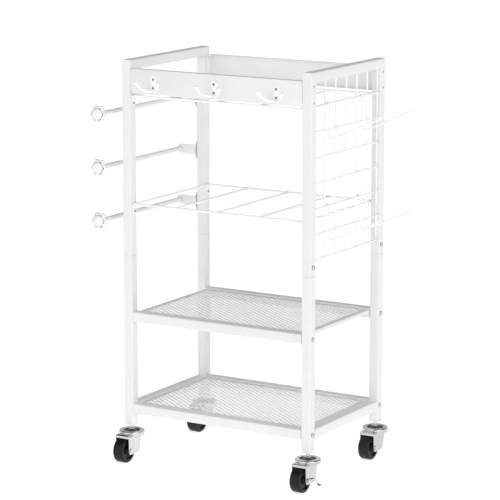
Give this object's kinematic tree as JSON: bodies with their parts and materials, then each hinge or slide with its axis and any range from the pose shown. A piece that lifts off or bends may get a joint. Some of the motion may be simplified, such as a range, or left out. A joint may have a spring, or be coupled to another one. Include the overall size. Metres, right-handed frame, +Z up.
{
  "type": "rolling gift wrap organizer",
  "caption": "Rolling square-tube cart with wire dividers for tall rolls, mesh shelves, a wire side grid with peg hooks, ribbon rods with star knobs and coat hooks.",
  "frame": {"origin": "on the floor, under the middle of the overall box", "axes": "+Z up, +X to the right seen from the front, the front with the coat hooks faces -Y"},
  "size_m": [0.756, 0.446, 1.02],
  "materials": {
    "white_paint": "white powder coat with a soft sheen",
    "zinc": "bright zinc plating",
    "chrome": "polished chrome plating",
    "wheel_black": "matt black moulded wheel",
    "knob_plastic": "smooth white moulding",
    "dark_plastic": "dark grey moulding"
  },
  "bodies": {
    "frame": {"left_upper_frame": "white_paint", "right_upper_frame": "white_paint", "left_lower_frame": "white_paint", "right_lower_frame": "white_paint", "front_band": "white_paint", "back_band": "white_paint", "middle_front_rail": "white_paint", "middle_back_rail": "white_paint", "lower_front_rail": "white_paint", "lower_back_rail": "white_paint", "upper_divider": "white_paint", "middle_divider": "white_paint", "middle_mesh_shelf": "white_paint", "lower_mesh_shelf": "white_paint", "side_grid": "white_paint", "upper_ribbon_rod": "white_paint", "middle_ribbon_rod": "white_paint", "lower_ribbon_rod": "white_paint", "upper_rod_bracket": "white_paint", "middle_rod_bracket": "white_paint", "lower_rod_bracket": "white_paint", "upper_rod_nut": "zinc", "middle_rod_nut": "zinc", "lower_rod_nut": "zinc", "left_coat_hook": "white_paint", "centre_coat_hook": "white_paint", "right_coat_hook": "white_paint", "front_left_post_sleeve": "zinc", "front_right_post_sleeve": "zinc", "back_left_post_sleeve": "zinc", "back_right_post_sleeve": "zinc", "front_left_post_insert": "dark_plastic", "front_right_post_insert": "dark_plastic", "back_left_post_insert": "dark_plastic", "back_right_post_insert": "dark_plastic", "front_left_stem": "chrome", "front_right_stem": "chrome", "back_left_stem": "chrome", "back_right_stem": "chrome"},
    "front_left_caster": {"front_left_fork": "chrome", "front_left_axle": "chrome"},
    "front_right_caster": {"front_right_fork": "chrome", "front_right_axle": "chrome"},
    "back_left_caster": {"back_left_fork": "chrome", "back_left_axle": "chrome"},
    "back_right_caster": {"back_right_fork": "chrome", "back_right_axle": "chrome"},
    "front_left_roller": {"front_left_wheel": "wheel_black"},
    "front_right_roller": {"front_right_wheel": "wheel_black"},
    "back_left_roller": {"back_left_wheel": "wheel_black"},
    "back_right_roller": {"back_right_wheel": "wheel_black"},
    "front_right_brake": {"front_right_brake_lever": "chrome"},
    "back_left_brake": {"back_left_brake_lever": "chrome"},
    "upper_knob": {"upper_star_knob": "knob_plastic"},
    "middle_knob": {"middle_star_knob": "knob_plastic"},
    "lower_knob": {"lower_star_knob": "knob_plastic"},
    "upper_front_peg": {"upper_front_peg_hook": "white_paint"},
    "upper_back_peg": {"upper_back_peg_hook": "white_paint"},
    "lower_front_peg": {"lower_front_peg_hook": "white_paint"},
    "lower_back_peg": {"lower_back_peg_hook": "white_paint"}
  },
  "joints": [
    {"name": "front_left_swivel", "type": "hinge", "parent": "frame", "child": "front_left_caster", "pos_m": [-0.29248, -0.155, 0.073], "axis": [0, 0, 1], "continuous": true},
    {"name": "front_right_swivel", "type": "hinge", "parent": "frame", "child": "front_right_caster", "pos_m": [0.22252, -0.155, 0.073], "axis": [0, 0, 1], "continuous": true},
    {"name": "back_left_swivel", "type": "hinge", "parent": "frame", "child": "back_left_caster", "pos_m": [-0.29248, 0.19, 0.073], "axis": [0, 0, 1], "continuous": true},
    {"name": "back_right_swivel", "type": "hinge", "parent": "frame", "child": "back_right_caster", "pos_m": [0.22252, 0.19, 0.073], "axis": [0, 0, 1], "continuous": true},
    {"name": "front_left_roll", "type": "hinge", "parent": "front_left_caster", "child": "front_left_roller", "pos_m": [-0.29248, -0.191, 0.032], "axis": [1, 0, 0], "continuous": true},
    {"name": "front_right_roll", "type": "hinge", "parent": "front_right_caster", "child": "front_right_roller", "pos_m": [0.22252, -0.191, 0.032], "axis": [1, 0, 0], "continuous": true},
    {"name": "back_left_roll", "type": "hinge", "parent": "back_left_caster", "child": "back_left_roller", "pos_m": [-0.29248, 0.154, 0.032], "axis": [1, 0, 0], "continuous": true},
    {"name": "back_right_roll", "type": "hinge", "parent": "back_right_caster", "child": "back_right_roller", "pos_m": [0.22252, 0.154, 0.032], "axis": [1, 0, 0], "continuous": true},
    {"name": "front_right_brake_pivot", "type": "hinge", "parent": "front_right_caster", "child": "front_right_brake", "pos_m": [0.24432, -0.191, 0.032], "axis": [1, 0, 0], "range_deg": [0, 30]},
    {"name": "back_left_brake_pivot", "type": "hinge", "parent": "back_left_caster", "child": "back_left_brake", "pos_m": [-0.27068, 0.154, 0.032], "axis": [1, 0, 0], "range_deg": [0, 30]},
    {"name": "upper_knob_travel", "type": "slide", "parent": "frame", "child": "upper_knob", "axis": [0, -1, 0], "range_m": [0, 0.032]},
    {"name": "middle_knob_travel", "type": "slide", "parent": "frame", "child": "middle_knob", "axis": [0, -1, 0], "range_m": [0, 0.032]},
    {"name": "lower_knob_travel", "type": "slide", "parent": "frame", "child": "lower_knob", "axis": [0, -1, 0], "range_m": [0, 0.032]},
    {"name": "upper_front_peg_swing", "type": "hinge", "parent": "frame", "child": "upper_front_peg", "pos_m": [0.23067, -0.0785, 0.93685], "axis": [0, -1, 0], "range_deg": [0, 75]},
    {"name": "upper_back_peg_swing", "type": "hinge", "parent": "frame", "child": "upper_back_peg", "pos_m": [0.23067, 0.0847, 0.93685], "axis": [0, -1, 0], "range_deg": [0, 75]},
    {"name": "lower_front_peg_swing", "type": "hinge", "parent": "frame", "child": "lower_front_peg", "pos_m": [0.23067, -0.0785, 0.68925], "axis": [0, -1, 0], "range_deg": [0, 75]},
    {"name": "lower_back_peg_swing", "type": "hinge", "parent": "frame", "child": "lower_back_peg", "pos_m": [0.23067, 0.0759, 0.68925], "axis": [0, -1, 0], "range_deg": [0, 75]}
  ]
}
